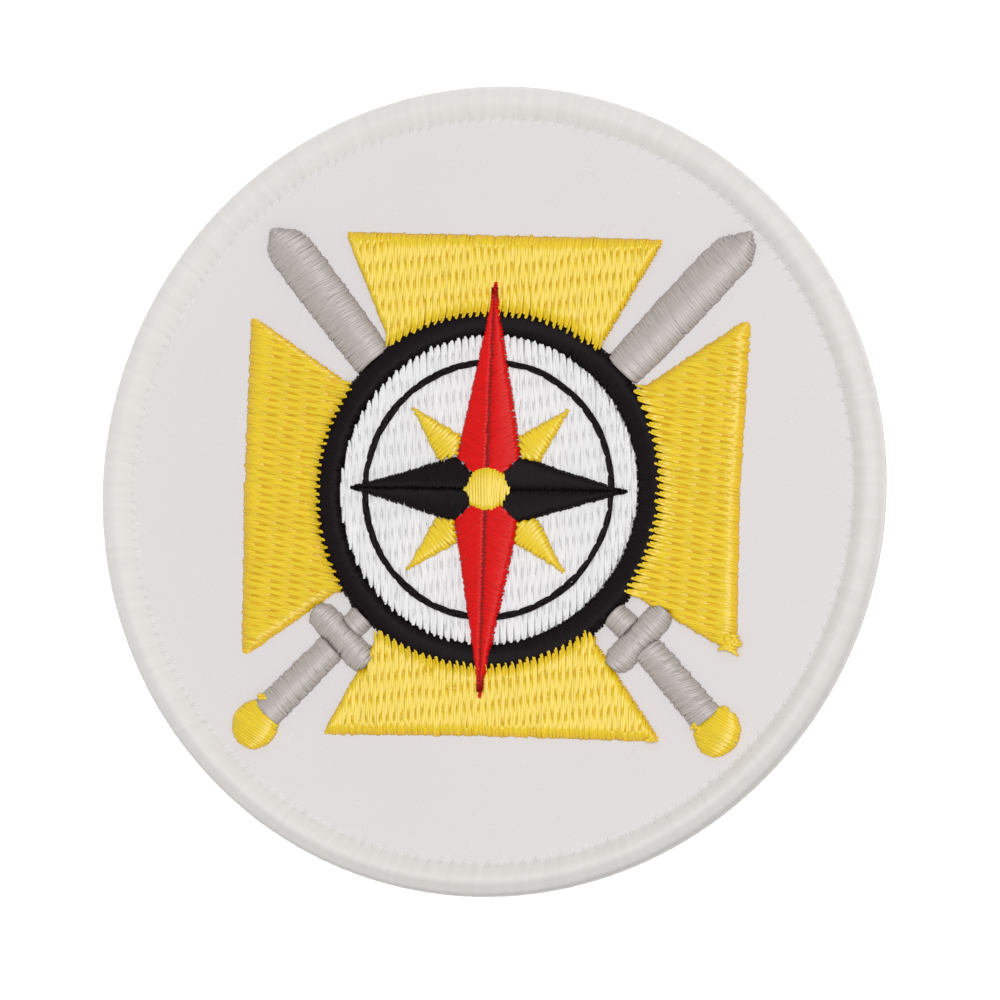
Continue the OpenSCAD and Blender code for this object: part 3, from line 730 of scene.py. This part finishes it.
red = thread_material("red_thread", linear(236, 10, 8), linear(176, 2, 3), roughness=0.5, gloss=0.4, ior=1.5)
LARGE_POINTS = [
    ("star_north", 90, LONG_REACH, red, "thread_red"), ("star_south", 270, LONG_REACH, red, "thread_red"),
    ("star_east", 0, MID_REACH, black, "thread_black"), ("star_west", 180, MID_REACH, black, "thread_black")]
for number, (node, bearing, reach, material, slot) in enumerate(LARGE_POINTS):
    rng = np.random.default_rng(420 + number)
    halves = leaf_half(bearing, reach, 1, rng) + leaf_half(bearing, reach, -1, rng)
    piece(node + "_satin", halves, material, slot, node)

SHORT_REACH = 10.8
SHORT_HALF, SHORT_WAIST = 2.3, 3.3
SHORT_EDGE, SHORT_CREST = 1.9, 2.2


def short_point(bearing, rng):
    """A short point: satin across its axis. On each side its half width is the smaller of the
    kite's own and the room that the large point there leaves beyond the notch."""
    notch = NOTCH * np.sqrt(2)
    count = int((SHORT_REACH - notch) / SATIN_PITCH)
    out = np.linspace(notch + 0.1, SHORT_REACH - 0.1, count)

    def half(place, reach):
        kite = SHORT_HALF * (SHORT_REACH - place) / (SHORT_REACH - SHORT_WAIST)
        room = (place - notch) * np.tan(np.pi / 4 + np.arctan(NOTCH / (reach - NOTCH)))
        return np.minimum(kite, room - 0.05)

    left_reach, right_reach = (LONG_REACH, MID_REACH) if bearing % 180 == 45 else (MID_REACH, LONG_REACH)
    way, side = unit(bearing), unit(bearing + 90)
    ahead = np.minimum(out + 0.2, SHORT_REACH)
    left = way * out[:, None] + side * half(out, left_reach)[:, None]
    right = way * ahead[:, None] - side * half(ahead, right_reach)[:, None]
    crest = SHORT_CREST + (SHORT_EDGE - SHORT_CREST) * out / SHORT_REACH
    return satin(left, right, crest, SHORT_EDGE - 0.15, FILL_TOP, rng, ragged=0.04)


SHORT_POINTS = [("star_ne", 45), ("star_nw", 135), ("star_sw", 225), ("star_se", 315)]
for number, (node, bearing) in enumerate(SHORT_POINTS):
    rng = np.random.default_rng(430 + number)
    piece(node + "_satin", short_point(bearing, rng), yellow, "thread_yellow", node)

HUB_R = box_mm("hub")[1][0]
HUB_TOP = box_mm("hub")[1][2]
rng = np.random.default_rng(440)
place = np.linspace(-0.97, 0.97, round(2 * HUB_R / SATIN_PITCH) + 3) * HUB_R
ahead = np.minimum(place + SATIN_PITCH / 2, HUB_R * 0.99)
left = np.stack([place, np.sqrt(HUB_R ** 2 - place ** 2)], 1)
right = np.stack([ahead, -np.sqrt(HUB_R ** 2 - ahead ** 2)], 1)
crest = HUB_TOP + 0.02 - 0.25 * (place / HUB_R) ** 2
rows = satin(left, right, crest, crest - 0.22, 1.8, rng, ragged=0.03)
piece("hub_satin", rows, yellow, "thread_yellow", "hub")


# The border
# An overlocked edge: bulky white polyester yarn wound over and over the cloth's rim, close
# enough to make a smooth round roll, and turned under it at the back. At its inner foot the
# needle thread locks every turn with a small slanting loop.
PATCH_R = box_mm("border")[1][0]
BORDER_TOP = box_mm("border")[1][2]
BORDER_WIDE, CREST_IN, UNDER_WIDE, UNDER_THICK = 3.4, 1.4, 2.9, 0.4
# The share of the height that lies on each side of the roll's widest line, and the power that
# makes its section squarer than an ellipse
ROLL_SHARE, ROLL_POWER = 0.56, 0.8
FOOT_R, CREST_R = PATCH_R - BORDER_WIDE, PATCH_R - CREST_IN
FOOT_LEVEL = CLOTH_TOP - 0.03
YARNS = 480
YARN_SAMPLES = 5
SLOPE_STEPS, OUTER_STEPS = 14, 15
YARN_RELIEF = 0.014
LOOPS = 205
GROOVE_R = 35.05
GROOVE_DEEP = 0.06
# How far each loop runs outside and inside the groove, and how far on round the border
LOOP_OUT, LOOP_IN, LOOP_ON = 0.15, 0.5, 0.3
# Painted shade on the outer wall, in bands: how far in from the edge each begins, the length over which
# it sets in, and its share all round, then how much more at the bottom and on the right
WALL_SHADE = [(1.5, 0.5, 0.02, 0.26, 0.0), (0.4, 0.25, 0.02, 0.4, 0.0), (0.9, 0.6, 0.0, 0.0, 0.25)]


def slope_height(r):
    """The border's height at a radius inside its crest: half a wave from foot to crest, a
    little steeper at its start because the share run is raised to a power under 1."""
    share = np.clip((r - FOOT_R) / (CREST_R - FOOT_R), 0, 1)
    return FOOT_LEVEL + (BORDER_TOP - FOOT_LEVEL) * (1 - np.cos(np.pi * share ** 0.85)) / 2


def loop_bearings():
    """The bearing of every loop, so that they stand wider apart on the right than on the left:
    equal shares of the length run, weighed by one over the distance wanted there."""
    fine = np.linspace(0, 2 * np.pi, 3600)
    weight = 1 / (1.08 + 0.2 * np.cos(fine + 0.3))
    share = np.cumsum(weight) - weight[0]
    return np.interp(np.arange(LOOPS) / LOOPS, share / share[-1], fine)


def border_surface(rng):
    """A roll round the rim. Its section slopes up from the inner foot to the crest, and goes on
    as a curve a little squarer than an ellipse round the outside to the underside, closed by
    the slot that the rim enters. Each yarn is a rounded rib, drawn in at its sides, that slants
    a little and varies in height. The locking loops pull a line of dents into the slope."""
    half_high = BORDER_TOP * ROLL_SHARE
    slope_r = np.linspace(FOOT_R, CREST_R, SLOPE_STEPS, endpoint=False)
    turn = np.linspace(np.pi / 2, -np.pi / 2, OUTER_STEPS + 1)
    squarer_r = np.abs(np.cos(turn)) ** ROLL_POWER
    squarer_z = np.sign(np.sin(turn)) * np.abs(np.sin(turn)) ** ROLL_POWER
    section = np.concatenate([
        np.stack([slope_r, slope_height(slope_r)], 1),
        np.stack([CREST_R + CREST_IN * squarer_r, BORDER_TOP - half_high + half_high * squarer_z], 1)])
    way = np.gradient(section, axis=0)
    out = np.stack([-way[:, 1], way[:, 0]], 1) / np.linalg.norm(way, axis=1)[:, None]
    around = YARNS * YARN_SAMPLES
    angle = 2 * np.pi * np.arange(around)[:, None] / around
    along = np.linspace(0, 1, len(section))[None]
    wobble = 0.08 * np.sin(angle * 23 + along * 5) + 0.05 * np.sin(angle * 61 - along * 7)
    phase = angle * YARNS / (2 * np.pi) + 0.9 * along + wobble
    which = np.floor(phase).astype(int) % YARNS
    turn_phase = np.interp(angle % (2 * np.pi), np.append(loop_bearings(), 2 * np.pi), np.arange(LOOPS + 1))
    in_groove = np.exp(-((section[:, 0] - GROOVE_R) / 0.24) ** 2) * (np.arange(len(section)) < SLOPE_STEPS)
    pull = GROOVE_DEEP * in_groove * (0.6 + 0.4 * np.cos(2 * np.pi * turn_phase)) + 0.012 * (
        0.5 + 0.5 * np.cos(2 * np.pi * (turn_phase + 0.25 * along)))
    swell = rng.uniform(0.6, 1.1, YARNS)[which]
    sit = rng.normal(0, 0.008, YARNS)[which] * np.sin(np.pi * (phase % 1)) ** 0.5
    rib = np.sqrt(np.abs(np.sin(np.pi * (phase % 1)))) - 1
    firm = np.clip(along * 8, 0, 1)
    push = (YARN_RELIEF * swell * rib + sit) * firm - pull
    r = np.maximum(section[:, 0] + push * out[:, 0], FOOT_R)
    z = np.maximum(section[:, 1] + push * out[:, 1], 0.0)
    slot = np.array([
        (PATCH_R - UNDER_WIDE, 0.0), (PATCH_R - UNDER_WIDE, UNDER_THICK), (RIM_R + 0.05, UNDER_THICK),
        (RIM_R + 0.05, CLOTH_TOP - 0.05), (FOOT_R, CLOTH_TOP - 0.05)])
    r = np.concatenate([r, np.broadcast_to(slot[:, 0], (around, len(slot)))], 1)
    z = np.concatenate([z, np.broadcast_to(slot[:, 1], (around, len(slot)))], 1)
    points = np.stack([r * np.cos(angle), r * np.sin(angle), z], -1)
    across = np.concatenate([np.linspace(0, 9, len(section)), np.full(len(slot), 9.5)])
    uv = np.stack(np.broadcast_arrays(across[None], angle * PATCH_R), -1).reshape(-1, 2)
    tone = np.concatenate([rng.uniform(0, 1, YARNS)[which], np.full((around, len(slot)), 0.5)], 1)
    # Painted shade: the outer wall greys in bands, more at the bottom and on the right; the needle's holes
    # darken in the groove; the lower wall below its widest line takes it whole
    from_edge = PATCH_R - section[:, 0]
    below, rightward = np.clip(-np.sin(angle), 0, 1), np.clip(np.cos(angle), 0, 1)
    wall = sum(np.clip((begins - from_edge) / over, 0, 1) * (grey + lower * below + outer * rightward)
               for begins, over, grey, lower, outer in WALL_SHADE)
    hole = in_groove * (0.03 + 0.17 * np.clip(np.cos(2 * np.pi * turn_phase), 0, 1) ** 3)
    lower_wall_shade = np.concatenate([np.zeros(SLOPE_STEPS), (turn < -0.05) & (turn > -1.3)])
    painted_shade = np.maximum(wall, np.maximum(hole, lower_wall_shade))
    # The slot under the roll takes painted shade whole
    in_slot = np.append(0.0, np.ones(len(slot) - 1))
    painted_shade = np.concatenate([painted_shade, np.broadcast_to(in_slot, (around, len(slot)))], 1)
    quads = grid_quads(around, len(section) + len(slot), closed_rows=True, closed_columns=True)
    return {"points": points.reshape(-1, 3), "quads": quads, "triangles": np.zeros((0, 3), int),
            "uv": uv, "tone": tone.ravel(), "painted_shade": painted_shade.ravel()}


def yarn_material():
    """Bulky white yarn: soft and matt, its loose fibres drawn out along each turn, and greyed
    by painted shade where it turns under, on its outer wall and in the needle's holes. It lets
    light in where the roll is thick, and none at the thin foot, by the place across the roll."""
    tree, shader, material = new_material("border_yarn")
    run = shader_node(tree, "ShaderNodeSeparateXYZ", {0: shader_node(tree, "ShaderNodeUVMap").outputs[0]})
    drawn = shader_node(tree, "ShaderNodeCombineXYZ", {
        0: maths(tree, "MULTIPLY", run.outputs[0], 1.3), 1: maths(tree, "MULTIPLY", run.outputs[1], 9)})
    height = noise(tree, drawn.outputs[0], 1.0, 4)
    bump = shader_node(tree, "ShaderNodeBump", {"Height": height, "Strength": 0.6, "Distance": 0.02 * MM})
    dye = blend(tree, point_value(tree, "tone"), linear(233, 230, 227), linear(237, 234, 231))
    # Painted shade: each point's share of it greys the yarn
    painted_shade_grey = blend(tree, point_value(tree, "painted_shade"), dye, linear(160, 158, 154))
    soft = shader_node(tree, "ShaderNodeMapRange", {0: run.outputs[0], 1: 2.5, 2: 6.0, 3: 0.0, 4: 0.6})
    set_inputs(tree, shader, {
        "Base Color": painted_shade_grey, "Normal": bump.outputs[0], "Roughness": 0.8, "Specular IOR Level": 0.25,
        "Sheen Weight": 0.25, "Sheen Roughness": 0.5, "Subsurface Weight": soft.outputs[0],
        "Subsurface Radius": (1.0, 0.97, 0.94), "Subsurface Scale": 0.7 * MM})
    return material


def border_loops(rng):
    """The locking loops: each comes out of the groove, and slants in and on over the roll's
    foot to its hole in the cloth. Its height is the roll's, or the cloth's where that is higher."""
    angle = loop_bearings() + rng.normal(0, 0.0012, LOOPS)
    outer = (GROOVE_R + LOOP_OUT + rng.normal(0, 0.04, LOOPS))[:, None]
    inner = (GROOVE_R - LOOP_IN + rng.normal(0, 0.05, LOOPS))[:, None]
    ahead = angle + (LOOP_ON + rng.normal(0, 0.08, LOOPS)) / GROOVE_R
    start = outer * np.stack([np.cos(angle), np.sin(angle)], 1)
    end = inner * np.stack([np.cos(ahead), np.sin(ahead)], 1)

    def top(share):
        return np.maximum(slope_height(outer + (inner - outer) * share), CLOTH_TOP) + 0.005

    feet = (slope_height(outer.ravel()) - 0.15, CLOTH_TOP - 0.06)
    paths, drop = laid(start, end, top, feet, (0.2, 0.2), rng, 9)
    # The loop takes painted shade where it dives
    return [threads(paths, 0.2 * (1 - 0.3 * drop.max(0)), 0.08, rng, drop.max(0) * 0.3)]


yarn = yarn_material()
rng = np.random.default_rng(500)
piece("border_roll", [border_surface(rng)], yarn, "border_white", "border")
lock_thread = thread_material("lock_thread", linear(238, 237, 235), linear(222, 221, 218), gloss=0.5)
piece("border_loops", border_loops(rng), lock_thread, "border_white")


# The table, the light and the camera
# The patch lies on a plain white table under a broad soft light, almost overhead and a little
# to the right, with white all round. The camera leans to the right too, and slightly to the foot.
TABLE_LEVEL = -0.02 * MM        # just clear of the back, so that no two faces lie in one plane
TABLE_CORNERS = [(-2, -2), (2, -2), (2, 2), (-2, 2)]
floor_mesh = bpy.data.meshes.new("table")
floor_mesh.from_pydata([(*corner, TABLE_LEVEL) for corner in TABLE_CORNERS], [], [(0, 1, 2, 3)])
floor = bpy.data.objects.new("table", floor_mesh)
bpy.context.scene.collection.objects.link(floor)
tree, shader, material = new_material("white_table")
set_inputs(tree, shader, {
    "Base Color": (0.95, 0.95, 0.95, 1), "Roughness": 0.9, "Specular IOR Level": 0.0,
    "Emission Color": (1, 1, 1, 1), "Emission Strength": 0.5})
floor_mesh.materials.append(material)

world = bpy.data.worlds.new("white_room")
bpy.context.scene.world = world
world.use_nodes = True
background = world.node_tree.nodes["Background"]
set_inputs(world.node_tree, background, {"Color": (1.0, 0.993, 0.99, 1), "Strength": 0.48})


def softbox(name, bearing, height, distance, size, power, colour):
    """A square lamp at a bearing and a height in degrees, a distance from the middle in
    metres, turned to face it."""
    lamp = bpy.data.lights.new(name, "AREA")
    lamp.size = size
    lamp.energy = power
    lamp.color = colour
    made = bpy.data.objects.new(name, lamp)
    bpy.context.scene.collection.objects.link(made)
    flat = unit(bearing) * np.cos(np.radians(height)) * distance
    made.location = (*flat, np.sin(np.radians(height)) * distance)
    made.rotation_euler = made.location.to_track_quat("Z", "Y").to_euler()
    return made


softbox("key_light", -2, 74, 1.2, 0.6, 7.2, (1.0, 0.996, 0.996))

# How far the camera leans from straight above and towards which bearing, and its roll, in degrees
LEAN, LEAN_BEARING, ROLL = 16.6, -15.9, 0.9
DISTANCE = 0.8          # metres
PIXELS_PER_MM = 10.68
PICTURE = 1000
AIM_PIXEL = np.array([489.6, 490.1])    # where the cloth's middle shows in the picture
back = np.append(np.sin(np.radians(LEAN)) * unit(LEAN_BEARING), np.cos(np.radians(LEAN)))
level = np.array([1.0, 0, 0]) - back[0] * back
level /= np.linalg.norm(level)
above = np.cross(back, level)
right = np.cos(np.radians(ROLL)) * level + np.sin(np.radians(ROLL)) * above
up = np.cos(np.radians(ROLL)) * above - np.sin(np.radians(ROLL)) * level
off = (PICTURE / 2 - AIM_PIXEL) / PIXELS_PER_MM * MM
aim = np.array([0, 0, CLOTH_TOP * MM]) + off[0] * right - off[1] * up
camera_data = bpy.data.cameras.new("camera")
camera_data.sensor_width = 36
camera_data.lens = 36 * DISTANCE / MM * PIXELS_PER_MM / PICTURE
camera = bpy.data.objects.new("camera", camera_data)
bpy.context.scene.collection.objects.link(camera)
turned = np.eye(4)
turned[:3, 0], turned[:3, 1], turned[:3, 2] = right, up, back
turned[:3, 3] = aim + back * DISTANCE
camera.matrix_world = turned.T.tolist()
bpy.context.scene.camera = camera
bpy.context.scene.view_settings.view_transform = "Standard"
